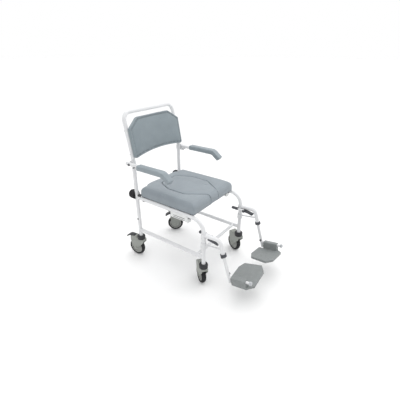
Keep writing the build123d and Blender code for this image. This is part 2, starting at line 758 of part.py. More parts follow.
def make_footrest_stem(side, name):
    """The inner tube that slides in the hanger, with the footplate's spigot welded across it."""
    x = side * LEG_X
    top, foot = (x, *hanger_point(STEM_TOP_Z)), (x, *hanger_point(STEM_FOOT_Z))
    with BuildPart() as stem:
        add(rod_between(top, foot, STEM_R))
        add(rod_between(spigot_point(side, -52), spigot_point(side, 84), SPIGOT_R))
        bore_start = Vector(*top) - hanger_down
        add(rod_between(bore_start, (x, *hanger_point(170)), STEM_R - 2), mode=Mode.SUBTRACT)
    keep(stem, f"footrest_stem_{name}")


def make_stem_screw(side, name):
    """The round-headed clamp screw on the inner side of the stem, above the spigot."""
    at = Vector(side * (LEG_X - STEM_R + 0.6), *hanger_point(176))
    with BuildPart() as screw:
        with BuildSketch(Plane(at, z_dir=(-side, 0, 0))):
            Circle(7.5)
        extrude(amount=7)
        fillet(screw.faces().sort_by(Axis.X)[0 if side > 0 else -1].edges(), radius=3)
        add(
            rod_between(
                (side * LEG_X, *hanger_point(STEM_TOP_Z)),
                (side * LEG_X, *hanger_point(STEM_FOOT_Z)),
                STEM_R,
            ),
            mode=Mode.SUBTRACT,
        )
    keep(screw, f"stem_screw_{name}")


def make_spigot_knob(side, name):
    """The round knob that keeps the footplate on its spigot."""
    knob_r = 12
    with BuildPart() as knob:
        with BuildSketch(Plane(spigot_point(side, 84), z_dir=spigot_forward)):
            Circle(knob_r)
        extrude(amount=14)
        fillet(knob.faces().sort_by(Axis.Y)[0].edges(), radius=5)
        fillet(knob.faces().sort_by(Axis.Y)[-1].edges(), radius=2)
    keep(knob, f"spigot_knob_{name}")


def footplate_plane(side):
    """Local X towards the other footplate and raised, local Y forward along the flip-up axis.

    Local Z points up out of the left footplate's tread, and down from the right one's.
    """
    raised = radians(PLATE_RAISE)
    level = Vector(-side, 0, 0)
    upright = level.cross(spigot_forward) * side
    inward = level * cos(raised) + upright * sin(raised)
    return Plane(spigot_point(side, 0), x_dir=inward, z_dir=inward.cross(spigot_forward))


def make_footplate(side, name):
    """A ribbed plastic tread with a hinge housing along its outer edge."""
    frame = footplate_plane(side)
    tread = carried(frame, Plane((0, 0, -side * PLATE_DROP)))
    housing_rear, housing_front = -31, 62
    with BuildPart() as footplate:
        with BuildSketch(tread) as outline:
            with BuildLine():
                Polyline(
                    (-HOUSING_WIDTH / 3, housing_rear),
                    (STEM_R + 5.5, housing_rear),
                    (STEM_R + 5.5, -64),
                    (133, -64),
                    (177, -43),
                    (195, 66),
                    (150, 98),
                    (20, 98),
                    (0, 72),
                    (-HOUSING_WIDTH / 3, housing_front),
                    close=True,
                )
            make_face()
            fillet(outline.vertices(), radius=4)
        extrude(amount=-side * PLATE_THICKNESS)
        across_axis = Plane((0, housing_rear, 0), x_dir=(1, 0, 0), z_dir=(0, 1, 0))
        with BuildSketch(carried(frame, across_axis)):
            with Locations((0, side * (HOUSING_DEPTH - HOUSING_RISE) / 2)):
                RectangleRounded(HOUSING_WIDTH, HOUSING_DEPTH + HOUSING_RISE, 8)
        extrude(amount=housing_front - housing_rear)
        with BuildSketch(carried(frame, across_axis.offset(-10))):
            Circle(SPIGOT_R + RUNNING_GAP)
        extrude(amount=2 * (housing_front - housing_rear), mode=Mode.SUBTRACT)
    keep(footplate, f"footplate_{name}")


# ==== castors ====


def castor_frame(x, y, trail_angle):
    """Local X is the way the castor trails, local Z up, and the origin is under the stem."""
    angle = radians(trail_angle)
    return Plane((x, y, 0), x_dir=(cos(angle), sin(angle), 0), z_dir=(0, 0, 1))


def make_castor_heads():
    """The covers over the swivel bearings, and the stems that plug into the legs."""
    with BuildPart() as cups:
        for x, y, _ in CASTORS.values():
            with BuildSketch(Plane((x, y, FORK_TOP_Z + 0.3))):
                Circle(28)
                Circle(KINGPIN_R, mode=Mode.SUBTRACT)
            extrude(amount=CUP_TOP_Z - FORK_TOP_Z - 0.3)
            with BuildSketch(Plane((x, y, LEG_FOOT_Z))):
                Circle(TUBE_R)
            extrude(amount=CUP_TOP_Z, mode=Mode.SUBTRACT)
        tops = cups.edges().filter_by(GeomType.CIRCLE).filter_by(lambda edge: edge.radius > 20)
        fillet(tops.group_by(Axis.Z)[-1], radius=7)
    keep(cups, "castor_cups")
    with BuildPart() as stems:
        for x, y, _ in CASTORS.values():
            with BuildSketch(Plane((x, y, CROWN_BOTTOM_Z + 2))):
                Circle(KINGPIN_R)
            extrude(amount=LEG_FOOT_Z - CROWN_BOTTOM_Z - 2)
            with BuildSketch(Plane((x, y, LEG_FOOT_Z))):
                Circle(TUBE_BORE_R)
            extrude(amount=34)
    keep(stems, "castor_stems")


def make_castor_fork(frame, name):
    """The hooded fork with its axle bolt; a braked one is open behind and holds the pedal's pin."""
    half = FORK_GAP / 2 + FORK_WALL
    axle_at = (TRAIL, WHEEL_R)
    side_plane = carried(frame, Plane.XZ.offset(-half))
    with BuildPart() as fork:
        with BuildSketch(side_plane) as side_view:
            with BuildLine():
                Polyline(
                    (-26, FORK_TOP_Z),
                    (30, FORK_TOP_Z),
                    (46, HOOD_TOP_Z),
                    (72, HOOD_TOP_Z),
                    (85, FORK_TOP_Z),
                    (84, 118),
                    (78, 84),
                    (TRAIL + 14, WHEEL_R - 12),
                )
                ThreePointArc(
                    (TRAIL + 14, WHEEL_R - 12),
                    (TRAIL + 2, WHEEL_R - 17),
                    (TRAIL - 11, WHEEL_R - 10),
                )
                Polyline(
                    (TRAIL - 11, WHEEL_R - 10),
                    (-26, CROWN_BOTTOM_Z - 8),
                    (-26, FORK_TOP_Z),
                )
            make_face()
            fillet(side_view.vertices().filter_by(lambda corner: corner.Y > WHEEL_R), radius=5)
        extrude(amount=2 * half)
        with BuildSketch(carried(frame, Plane((0, 0, 0)))):
            with Locations((TRAIL, 0)):
                Rectangle(4 * WHEEL_R, FORK_GAP)
        extrude(amount=CROWN_BOTTOM_Z, mode=Mode.SUBTRACT)
        if name in BRAKED:
            with BuildSketch(carried(frame, Plane((0, 0, CROWN_BOTTOM_Z - 1)))):
                with Locations((PEDAL_PIVOT[0] + 40, 0)):
                    Rectangle(100, FORK_GAP)
            extrude(amount=2 * WHEEL_R, mode=Mode.SUBTRACT)
            with BuildSketch(side_plane):
                with Locations(PEDAL_PIVOT):
                    Circle(PEDAL_PIN_R)
            extrude(amount=2 * half)
        with BuildSketch(carried(frame, Plane((0, 0, 0)))):
            Circle(KINGPIN_R + RUNNING_GAP)
        extrude(amount=FORK_TOP_Z + 1, mode=Mode.SUBTRACT)
        with BuildSketch(side_plane.offset(-1)):
            with Locations(axle_at):
                Circle(AXLE_R)
        extrude(amount=2 * half + 2, mode=Mode.SUBTRACT)
        with BuildSketch(side_plane):
            with Locations(axle_at):
                Circle(AXLE_R)
        extrude(amount=2 * half)
        for head_start in (-4, 2 * half):
            with BuildSketch(side_plane.offset(head_start)):
                with Locations(axle_at):
                    RegularPolygon(8, 6)
            extrude(amount=4)
    keep(fork, f"castor_fork_{name}")


def make_castor_wheel(frame, name):
    """A plastic core that turns on the axle, and the rubber tyre on its rim."""
    centre = carried(frame, Plane((TRAIL, 0, WHEEL_R), x_dir=(1, 0, 0), z_dir=(0, 0, 1)))
    axle = Axis(centre.origin, centre.y_dir)
    half, rim, web, hub_half = TYRE_WIDTH / 2, 12, 4, FORK_GAP / 2 - 0.8
    with BuildPart() as core:
        with BuildSketch(centre):
            with BuildLine():
                Polyline(
                    (AXLE_R + RUNNING_GAP, -hub_half),
                    (13, -hub_half),
                    (15, -web),
                    (40, -web),
                    (42, -rim),
                    (TYRE_BORE_R, -rim),
                    (TYRE_BORE_R, rim),
                    (42, rim),
                    (40, web),
                    (15, web),
                    (13, hub_half),
                    (AXLE_R + RUNNING_GAP, hub_half),
                    close=True,
                )
            make_face()
        revolve(axis=axle)
    keep(core, f"wheel_core_{name}")
    with BuildPart() as tyre:
        with BuildSketch(centre):
            with BuildLine():
                Polyline(
                    (TYRE_BORE_R, half - 2),
                    (TYRE_BORE_R, 2 - half),
                    (TYRE_BORE_R + 5, -half),
                    (WHEEL_R - 6, -half),
                )
                ThreePointArc((WHEEL_R - 6, -half), (WHEEL_R, 0), (WHEEL_R - 6, half))
                Polyline(
                    (WHEEL_R - 6, half),
                    (TYRE_BORE_R + 5, half),
                    (TYRE_BORE_R, half - 2),
                )
            make_face()
        revolve(axis=axle)
    keep(tyre, f"tyre_{name}")


def make_brake_pedal(frame, name):
    """A slim pedal out of the hood, with a shoe below it that bears on the tyre."""
    x, z = PEDAL_PIVOT
    width = FORK_GAP - 1.5
    with BuildPart() as pedal:
        with BuildSketch(carried(frame, Plane.XZ.offset(-width / 2))) as side_view:
            with BuildLine():
                Polyline(
                    (x - 7, z - 3),
                    (x - 7, z + 6),
                    (x - 1, z + 10),
                    (x + 30, z + 10),
                    (x + 48, z + 2),
                    (x + 63, z - 10),
                    (x + 62, z - 15),
                    (x + 57, z - 15),
                    (x + 43, z - 6),
                    (x + 28, z + 1),
                    (x + 22, z + 1),
                    (x + 20, z - 25),
                    (x + 14, z - 28),
                    (x + 6, z - 20),
                    close=True,
                )
            make_face()
            fillet(side_view.vertices(), radius=1.5)
            with Locations((x, z)):
                Circle(PEDAL_PIN_R + RUNNING_GAP, mode=Mode.SUBTRACT)
        extrude(amount=width)
    keep(pedal, f"brake_pedal_{name}")


os.makedirs("parts", exist_ok=True)

make_back_frame()
make_lower_side_rails()
make_cross_tubes()
make_rear_buffers()
make_backrest_pad()
make_frame_screws()
make_seat_board()
make_seat_pad()
make_seat_insert()
make_seat_clips()
make_seat_hooks()
make_pan_guides()
make_arm_brackets()
make_arm_pivots()
make_rest_collars()
make_castor_heads()

for name, side in SIDES.items():
    make_rear_leg(side, name)
    make_side_frame(side, name)
    make_armrest_tube(side, name)
    make_armrest_cap(side, name)
    make_armrest_pad(side, name)
    make_hanger(side, name)
    make_hanger_collar(side, name)
    make_height_button(side, name)
    make_release_lever(side, name)
    make_footrest_stem(side, name)
    make_stem_screw(side, name)
    make_spigot_knob(side, name)
    make_footplate(side, name)

for name, (x, y, trail_angle) in CASTORS.items():
    frame = castor_frame(x, y, trail_angle)
    make_castor_fork(frame, name)
    make_castor_wheel(frame, name)
    if name in BRAKED:
        make_brake_pedal(frame, name)
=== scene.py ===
"""Looks of a mobile shower commode chair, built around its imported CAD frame. Units are metres."""

import json
from math import cos, pi, radians, sin, tan

import bmesh
import bpy
import numpy as np
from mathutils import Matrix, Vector


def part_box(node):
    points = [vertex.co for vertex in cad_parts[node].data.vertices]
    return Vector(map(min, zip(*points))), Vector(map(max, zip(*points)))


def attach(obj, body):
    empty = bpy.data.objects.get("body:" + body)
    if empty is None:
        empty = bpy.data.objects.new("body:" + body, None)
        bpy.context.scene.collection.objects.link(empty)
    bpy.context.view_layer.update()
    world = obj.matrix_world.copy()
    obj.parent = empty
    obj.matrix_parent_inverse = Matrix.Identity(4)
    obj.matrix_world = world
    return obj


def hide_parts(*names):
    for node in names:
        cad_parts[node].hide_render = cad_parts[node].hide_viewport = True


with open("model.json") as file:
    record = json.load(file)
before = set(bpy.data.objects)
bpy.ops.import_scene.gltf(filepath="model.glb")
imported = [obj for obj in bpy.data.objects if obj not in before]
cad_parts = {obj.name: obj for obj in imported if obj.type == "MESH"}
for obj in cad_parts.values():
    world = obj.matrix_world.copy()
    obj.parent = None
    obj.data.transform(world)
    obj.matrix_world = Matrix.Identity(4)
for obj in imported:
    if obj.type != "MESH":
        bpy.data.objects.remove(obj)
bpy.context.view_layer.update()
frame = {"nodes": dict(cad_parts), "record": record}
scene = bpy.context.scene
MM = 0.001
SIDES = {"left": 1, "right": -1}


# ==== node materials ====


class Surface:
    """A Principled material whose nodes all read the object's own coordinates."""

    def __init__(self, name, roughness=0.5, metallic=0.0, coat=0.0, sheen=0.0, specular=0.5):
        self.material = bpy.data.materials.new(name)
        self.material.use_nodes = True
        self.nodes = self.material.node_tree.nodes
        self.shader = self.nodes["Principled BSDF"]
        self.shader.inputs["Roughness"].default_value = roughness
        self.shader.inputs["Metallic"].default_value = metallic
        self.shader.inputs["Coat Weight"].default_value = coat
        self.shader.inputs["Coat Roughness"].default_value = 0.25
        self.shader.inputs["Sheen Weight"].default_value = sheen
        self.shader.inputs["Sheen Roughness"].default_value = 0.6
        self.shader.inputs["Specular IOR Level"].default_value = specular
        self.place = self.nodes.new("ShaderNodeTexCoord").outputs["Object"]
        self.normal = None

    def link(self, source, target):
        self.material.node_tree.links.new(source, target)

    def noise(self, size, detail=3.0, stretch=None):
        """Soft cloudy values from 0 to 1, with blobs about `size` metres across."""
        node = self.nodes.new("ShaderNodeTexNoise")
        node.inputs["Scale"].default_value = 1.0 / size
        node.inputs["Detail"].default_value = detail
        place = self.place
        if stretch:
            mapping = self.nodes.new("ShaderNodeMapping")
            mapping.inputs["Scale"].default_value = stretch
            self.link(self.place, mapping.inputs["Vector"])
            place = mapping.outputs["Vector"]
        self.link(place, node.inputs["Vector"])
        return node.outputs["Fac"]

    def cells(self, size, feature="F1"):
        """Cellular values, with cells about `size` metres across."""
        node = self.nodes.new("ShaderNodeTexVoronoi")
        node.feature = feature
        node.inputs["Scale"].default_value = 1.0 / size
        self.link(self.place, node.inputs["Vector"])
        return node.outputs["Distance"]

    def spread(self, value, low, high, to_low=0.0, to_high=1.0):
        """Values between low and high, mapped and clamped to another range."""
        node = self.nodes.new("ShaderNodeMapRange")
        for name, number in (("From Min", low), ("From Max", high), ("To Min", to_low), ("To Max", to_high)):
            node.inputs[name].default_value = number
        self.link(value, node.inputs["Value"])
        return node.outputs["Result"]

    def edges(self, radius):
        """1 at edges sharper than the radius, 0 on open faces."""
        bevel = self.nodes.new("ShaderNodeBevel")
        bevel.samples = 4
        bevel.inputs["Radius"].default_value = radius
        geometry = self.nodes.new("ShaderNodeNewGeometry")
        dot = self.nodes.new("ShaderNodeVectorMath")
        dot.operation = "DOT_PRODUCT"
        self.link(bevel.outputs["Normal"], dot.inputs[0])
        self.link(geometry.outputs["Normal"], dot.inputs[1])
        return self.spread(dot.outputs["Value"], 0.995, 0.9)

    def blend(self, amount, first, second):
        """A colour between two colours, each a socket or an (r, g, b)."""
        node = self.nodes.new("ShaderNodeMix")
        node.data_type = "RGBA"
        sockets = [s for s in node.inputs if s.type == "RGBA"]
        for socket, colour in zip(sockets, (first, second)):
            if isinstance(colour, tuple):
                socket.default_value = (*colour, 1.0)
            else:
                self.link(colour, socket)
        self.link(amount, node.inputs["Factor"])
        return next(s for s in node.outputs if s.type == "RGBA")

    def colour(self, socket):
        self.link(socket, self.shader.inputs["Base Color"])

    def roughen(self, socket):
        self.link(socket, self.shader.inputs["Roughness"])

    def relief(self, height, depth, strength=1.0):
        """Adds bumps of `depth` metres on top of those already there."""
        node = self.nodes.new("ShaderNodeBump")
        node.inputs["Strength"].default_value = strength
        node.inputs["Distance"].default_value = depth
        self.link(height, node.inputs["Height"])
        if self.normal:
            self.link(self.normal, node.inputs["Normal"])
        self.normal = node.outputs["Normal"]
        self.link(self.normal, self.shader.inputs["Normal"])


def tinted(colour, factor):
    return tuple(min(1.0, channel * factor) for channel in colour)


def powder_coat():
    """White stoved powder on steel: faint orange peel, slight yellowing, dulled where it is handled."""
    s = Surface("powder_coat", coat=0.25)
    white = (0.76, 0.768, 0.78)
    tone = s.blend(s.spread(s.noise(0.09), 0.35, 0.65), white, tinted(white, 0.95))
    grey = s.blend(s.spread(s.noise(0.0016, 2.0), 0.62, 0.74), tone, (0.67, 0.675, 0.68))
    s.colour(grey)
    s.roughen(s.spread(s.noise(0.05), 0.3, 0.7, 0.27, 0.4))
    s.relief(s.noise(0.0022, 1.5), 0.00006)
    return s.material


def foam_skin(name, colour):
    """Integral-skin polyurethane foam: satin and pebbled, with paler rubbed patches; painted shade darkens
    its creases and a painted highlight lightens its ridges.
    """
    s = Surface(name, sheen=0.12, specular=0.4)
    cloudy = s.blend(s.spread(s.noise(0.06, 4.0), 0.32, 0.68), tinted(colour, 0.95), tinted(colour, 1.05))
    pits = s.spread(s.cells(0.0011), 0.05, 0.5)
    speckled = s.blend(pits, tinted(colour, 0.84), cloudy)
    rubbed = s.blend(s.spread(s.noise(0.018, 5.0), 0.6, 0.78), speckled, tinted(colour, 1.1))
    bend = s.nodes.new("ShaderNodeNewGeometry").outputs["Pointiness"]
    # Painted shade: where pointiness is low, in creases, grooves and seams, the colour falls to half.
    crease_shaded = s.blend(s.spread(bend, 0.455, 0.498), tinted(colour, 0.5), rubbed)
    # Painted highlight: where pointiness is high, on ridges and rounded edges, the colour is lightened.
    s.colour(s.blend(s.spread(bend, 0.515, 0.58), crease_shaded, tinted(colour, 1.3)))
    s.roughen(s.spread(s.noise(0.03, 4.0), 0.3, 0.7, 0.4, 0.54))
    s.relief(s.noise(0.012, 3.0), 0.00025)
    s.relief(s.cells(0.0011), 0.00016)
    return s.material


def moulded(name, colour, grain=0.0012, depth=0.0001, rough=(0.45, 0.6), wear=None, coat=0.0):
    """Injection-moulded plastic: spark-eroded grain, flow mottling, and paler rubbed edges."""
    s = Surface(name, coat=coat)
    mottled = s.blend(s.spread(s.noise(0.02, 4.0), 0.3, 0.7), tinted(colour, 0.88), tinted(colour, 1.12))
    fine = s.blend(s.spread(s.noise(grain, 2.0), 0.4, 0.62), tinted(colour, 0.86), mottled)
    if wear:
        worn = s.spread(s.noise(0.006, 4.0), 0.35, 0.6)
        mask = s.nodes.new("ShaderNodeMath")
        mask.operation = "MULTIPLY"
        s.link(s.edges(0.0012), mask.inputs[0])
        s.link(worn, mask.inputs[1])
        fine = s.blend(mask.outputs[0], fine, wear)
    s.colour(fine)
    s.roughen(s.spread(s.noise(0.015, 4.0), 0.3, 0.7, *rough))
    s.relief(s.noise(grain, 3.0), depth)
    return s.material


def rubber(name, colour):
    """Solid rubber: matt, dusty in its hollows, with scuffed patches."""
    s = Surface(name, specular=0.35)
    dusty = s.blend(s.spread(s.noise(0.012, 5.0), 0.55, 0.85), colour, (0.05, 0.049, 0.046))
    s.colour(s.blend(s.spread(s.noise(0.0018, 3.0), 0.55, 0.75), dusty, tinted(colour, 1.6)))
    s.roughen(s.spread(s.noise(0.01, 4.0), 0.3, 0.7, 0.6, 0.82))
    s.relief(s.noise(0.0011, 4.0), 0.00016)
    return s.material


def bare_steel(name, colour, stretch, rough=(0.24, 0.42)):
    """Plated steel with drawn lines along one direction and duller patches."""
    s = Surface(name, metallic=1.0)
    lines = s.noise(0.0016, 3.0, stretch)
    tone = s.blend(s.spread(lines, 0.35, 0.65), tinted(colour, 0.86), tinted(colour, 1.1))
    s.colour(s.blend(s.spread(s.noise(0.009, 4.0), 0.55, 0.8), tone, tinted(colour, 0.7)))
    s.roughen(s.spread(lines, 0.3, 0.7, *rough))
    s.relief(lines, 0.00003)
    return s.material


def laminate(name, colour):
    """Phenolic board: dark, with pressed fibres that run across it."""
    s = Surface(name)
    fibres = s.noise(0.003, 5.0, (1.0, 7.0, 7.0))
    s.colour(s.blend(s.spread(fibres, 0.35, 0.65), tinted(colour, 0.75), tinted(colour, 1.25)))
    s.roughen(s.spread(fibres, 0.3, 0.7, 0.4, 0.58))
    s.relief(fibres, 0.00006)
    return s.material


FOAM = (0.25, 0.287, 0.317)
MATERIALS = {
    "white_steel": powder_coat(),
    "white_cap": moulded("white_cap", (0.78, 0.79, 0.785), rough=(0.35, 0.5)),
    "white_plastic": moulded("white_plastic", (0.80, 0.815, 0.81), rough=(0.35, 0.5)),
    "seat_cushion": foam_skin("seat_foam", FOAM),
    "seat_insert_cushion": foam_skin("insert_foam", FOAM),
    "back_cushion": foam_skin("back_foam", (0.225, 0.27, 0.296)),
    "arm_cushion": foam_skin("arm_foam", (0.262, 0.305, 0.332)),
    "seat_board": laminate("seat_board", (0.09, 0.1, 0.115)),
    "dark_plastic": moulded("dark_plastic", (0.025, 0.028, 0.035), wear=(0.16, 0.16, 0.17)),
    "clip_plastic": moulded("clip_plastic", (0.13, 0.13, 0.135), wear=(0.26, 0.26, 0.26)),
    "dark_steel": bare_steel("dark_steel", (0.16, 0.16, 0.17), (1.0, 1.0, 4.0), (0.36, 0.52)),
    "buffer_rubber": rubber("buffer_rubber", (0.01, 0.01, 0.013)),
    "dark_grey_plastic": moulded("dark_grey_plastic", (0.068, 0.072, 0.084), wear=(0.2, 0.2, 0.21)),
    "button_plastic": moulded("button_plastic", (0.035, 0.037, 0.045), rough=(0.25, 0.4)),
    "knob_plastic": moulded("knob_plastic", (0.46, 0.48, 0.5), rough=(0.22, 0.35), coat=0.3),
    "footplate_plastic": moulded(
        "footplate_plastic", (0.245, 0.262, 0.262), 0.0024, 0.0003, (0.5, 0.68), (0.36, 0.375, 0.375)
    ),
    "castor_cover": moulded("castor_cover", (0.02, 0.021, 0.025), wear=(0.09, 0.09, 0.1)),
    "bright_steel": bare_steel("bright_steel", (0.6, 0.61, 0.62), (1.0, 1.0, 5.0)),
    "castor_fork": moulded(
        "castor_fork", (0.32, 0.335, 0.31), 0.003, 0.0002, (0.38, 0.55), (0.46, 0.47, 0.44)
    ),
    "wheel_core": moulded("wheel_core", (0.4, 0.41, 0.39), rough=(0.38, 0.55), wear=(0.55, 0.55, 0.53)),
    "tyre": rubber("tyre", (0.012, 0.012, 0.014)),
    "brake_pedal": moulded("brake_pedal", (0.022, 0.023, 0.027), wear=(0.13, 0.13, 0.14)),
}


def dress_frame():
    """Every CAD node takes its record slot's material."""
    for entry in frame["record"]["subparts"]:
        node = frame["nodes"][entry["node"]]
        material = MATERIALS[entry["material_slot"]]
        if not node.material_slots:
            node.data.materials.append(material)
        for place in node.material_slots:
            place.material = material


# ==== soft pieces: shaped by distance fields ====


def cap_loops(node, up, across, side):
    """The outline of a node's cap: segments where its flat end meets its walls.

    `up` is the axis that the cap faces, and `side` is 1 for the top cap, -1 for the bottom one.
    Points are given as (across, up x across) coordinates."""
    other = up.cross(across)
    mesh = bmesh.new()
    mesh.from_mesh(frame["nodes"][node].data)
    bmesh.ops.remove_doubles(mesh, verts=mesh.verts, dist=1e-6)
    mesh.normal_update()
    segments = []
    for edge in mesh.edges:
        caps = [f.normal.dot(up) * side > 0.6 for f in edge.link_faces]
        if len(caps) == 2 and caps[0] != caps[1]:
            segments.append([(v.co.dot(across), v.co.dot(other)) for v in edge.verts])
    mesh.free()
    return np.array(segments)


class Outline:
    """Signed distance to an outline, negative inside, read from a fine grid."""

    STEP = 0.001

    def __init__(self, segments, margin=0.06, soften=0):
        low, high = segments.min((0, 1)) - margin, segments.max((0, 1)) + margin
        self.low = low
        self.count = np.ceil((high - low) / self.STEP).astype(int)
        xs = low[0] + self.STEP * np.arange(self.count[0])
        ys = low[1] + self.STEP * np.arange(self.count[1])
        nearest = np.full(tuple(self.count), np.inf)
        inside = np.zeros(tuple(self.count), bool)
        for (ax, ay), (bx, by) in segments:
            dx, dy = bx - ax, by - ay
            length = dx * dx + dy * dy
            if length < 1e-16:
                continue
            along = ((xs[:, None] - ax) * dx + (ys[None, :] - ay) * dy) / length
            along = np.clip(along, 0.0, 1.0)
            gap = (xs[:, None] - ax - along * dx) ** 2 + (ys[None, :] - ay - along * dy) ** 2
            nearest = np.minimum(nearest, gap)
            rows = (ys > min(ay, by)) & (ys <= max(ay, by))
            if rows.any():
                cross = ax + (ys[rows] - ay) * dx / dy
                inside[:, rows] ^= xs[:, None] < cross[None, :]
        self.field = np.sqrt(nearest) * np.where(inside, -1.0, 1.0)
        for _ in range(soften):
            self.field = self.smoothed(self.field)

    @staticmethod
    def smoothed(field):
        wide = np.pad(field, 4, mode="edge")
        rows = sum(wide[k : k + field.shape[0], :] for k in range(9)) / 9
        return sum(rows[:, k : k + field.shape[1]] for k in range(9)) / 9

    def __call__(self, x, y):
        gx = np.clip((x - self.low[0]) / self.STEP, 0, self.count[0] - 1.001)
        gy = np.clip((y - self.low[1]) / self.STEP, 0, self.count[1] - 1.001)
        i, j = gx.astype(int), gy.astype(int)
        u, v = gx - i, gy - j
        f = self.field
        near = f[i, j] * (1 - u) + f[i + 1, j] * u
        far = f[i, j + 1] * (1 - u) + f[i + 1, j + 1] * u
        return near * (1 - v) + far * v


def both(a, b, radius):
    """The field of what lies inside both a and b, with a rounded edge where they meet."""
    corner = np.hypot(np.maximum(a + radius, 0), np.maximum(b + radius, 0))
    return np.minimum(np.maximum(a, b), -radius) + corner


def coordinates(mesh):
    flat = np.empty(3 * len(mesh.vertices))
    mesh.vertices.foreach_get("co", flat)
    return flat.reshape(-1, 3)


def set_coordinates(mesh, points):
    mesh.vertices.foreach_set("co", points.ravel())
    mesh.update()


def settle_on(points, field, rounds=6):
    """Moves points onto the surface where the field is zero."""
    step = 0.0004
    for _ in range(rounds):
        value = field(points)
        slope = np.empty_like(points)
        for axis in range(3):
            shift = np.zeros(3)
            shift[axis] = step
            slope[:, axis] = (field(points + shift) - field(points - shift)) / (2 * step)
        size = np.maximum((slope**2).sum(1), 0.05)
        points = points - (value / size)[:, None] * slope
    return points


def active(piece):
    bpy.ops.object.select_all(action="DESELECT")
    piece.select_set(True)
    bpy.context.view_layer.objects.active = piece


def apply_modifier(piece, kind, **settings):
    modifier = piece.modifiers.new(kind.lower(), kind)
    for name, value in settings.items():
        setattr(modifier, name, value)
    active(piece)
    bpy.ops.object.modifier_apply(modifier=modifier.name)


def placed(name, mesh):
    """Puts a built mesh into the scene as an object, with its faces turned outwards."""
    bmesh.ops.recalc_face_normals(mesh, faces=mesh.faces)
    data = bpy.data.meshes.new(name)
    mesh.to_mesh(data)
    mesh.free()
    piece = bpy.data.objects.new(name, data)
    scene.collection.objects.link(piece)
    return piece


def soft_copy(node, name, voxel):
    """An evenly remeshed copy of a soft CAD solid."""
    piece = bpy.data.objects.new(name, frame["nodes"][node].data.copy())
    scene.collection.objects.link(piece)
    piece.data.materials.clear()
    apply_modifier(piece, "REMESH", mode="VOXEL", voxel_size=voxel)
    return piece


def inflate(piece, reach, frames=20, pressure=4.0):
    """Swells a closed piece under air pressure; `reach` gives how far each point may move."""
    start = coordinates(piece.data)
    limit = reach(start)
    cloth = piece.modifiers.new("cloth", "CLOTH")
    cloth.settings.quality = 5
    cloth.settings.mass = 0.3
    cloth.settings.use_pressure = True
    cloth.settings.uniform_pressure_force = pressure
    cloth.settings.effector_weights.gravity = 0
    for number in range(1, frames + 1):
        scene.frame_set(number)
    shown = piece.evaluated_get(bpy.context.evaluated_depsgraph_get())
    move = coordinates(shown.data) - start
    piece.modifiers.remove(cloth)
    scene.frame_set(1)
    length = np.maximum(np.linalg.norm(move, axis=1), 1e-9)
    move *= (limit * np.tanh(length / np.maximum(limit, 1e-6)) / length)[:, None]
    set_coordinates(piece.data, start + even_out(piece.data, move, 12))


def even_out(mesh, values, rounds):
    """Averages a value of each vertex with its neighbours', so that it varies gently."""
    pairs = np.empty(2 * len(mesh.edges), int)
    mesh.edges.foreach_get("vertices", pairs)
    a, b = pairs.reshape(-1, 2).T
    count = np.bincount(np.r_[a, b], minlength=len(values))[:, None]
    for _ in range(rounds):
        total = np.zeros_like(values)
        np.add.at(total, a, values[b])
        np.add.at(total, b, values[a])
        values = 0.4 * values + 0.6 * total / count
    return values


def finish_soft(piece, node, slot, body):
    for polygon in piece.data.polygons:
        polygon.use_smooth = True
    apply_modifier(piece, "SUBSURF", levels=1, render_levels=1)
    piece.data.materials.clear()
    piece.data.materials.append(MATERIALS[slot])
    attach(piece, body)
    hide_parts(node)


def smoothstep(value, low, high):
    t = np.clip((value - low) / (high - low), 0.0, 1.0)
    return t * t * (3 - 2 * t)


UP, ACROSS, AHEAD = Vector((0, 0, 1)), Vector((1, 0, 0)), Vector((0, 1, 0))
SEAT_CROWN = 1.5 * MM                 # the foam's top above the CAD pad's
INSERT_CROWN = 2.5 * MM
KEYHOLE_ROUNDING = 1.8 * MM
SEAM_SETBACK = 0.2 * MM


def lay_on_seat(x, y, rim, top):
    """Height of the seat's moulded top: a shallow bowl with a pressed line inside its edge."""
    bowl_depth, bowl_width, bowl_length = 3.0 * MM, 150 * MM, 140 * MM
    line_depth, line_inset, line_width = 1.1 * MM, 34 * MM, 3.5 * MM
    low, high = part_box("seat_pad")
    middle_y = (low.y + high.y) / 2
    bowl = bowl_depth * np.exp(-((x / bowl_width) ** 2) - ((y - middle_y) / bowl_length) ** 2)
    pressed = line_depth * np.exp(-(((rim + line_inset) / line_width) ** 2))
    return top - bowl - pressed


def edge_rounding(y):
    """Radius of the seat's upper edge: generous at the front, tighter along the sides."""
    at_front, at_sides = 37 * MM, 33 * MM
    front_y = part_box("seat_pad")[0].y
    return at_front - (at_front - at_sides) * smoothstep(y, front_y + 20 * MM, front_y + 90 * MM)


def whole_seat():
    """The seat's outline, with the keyhole's mouth closed by a straight front edge."""
    segments = cap_loops("seat_pad", UP, ACROSS, -1)
    front_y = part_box("seat_pad")[0].y
    insert = Outline(cap_loops("seat_insert", UP, ACROSS, 1))
    middles = segments.mean(1)
    kept = segments[insert(middles[:, 0], middles[:, 1]) > 4.5 * MM]
    front = kept[np.abs(kept[:, :, 1] - front_y).max(1) < 0.2 * MM].reshape(-1, 2)
    left, right = front[front[:, 0] > 0], front[front[:, 0] < 0]
    mouth = [[left[left[:, 0].argmin()], right[right[:, 0].argmax()]]]
    return Outline(np.concatenate([kept, mouth]), soften=6)


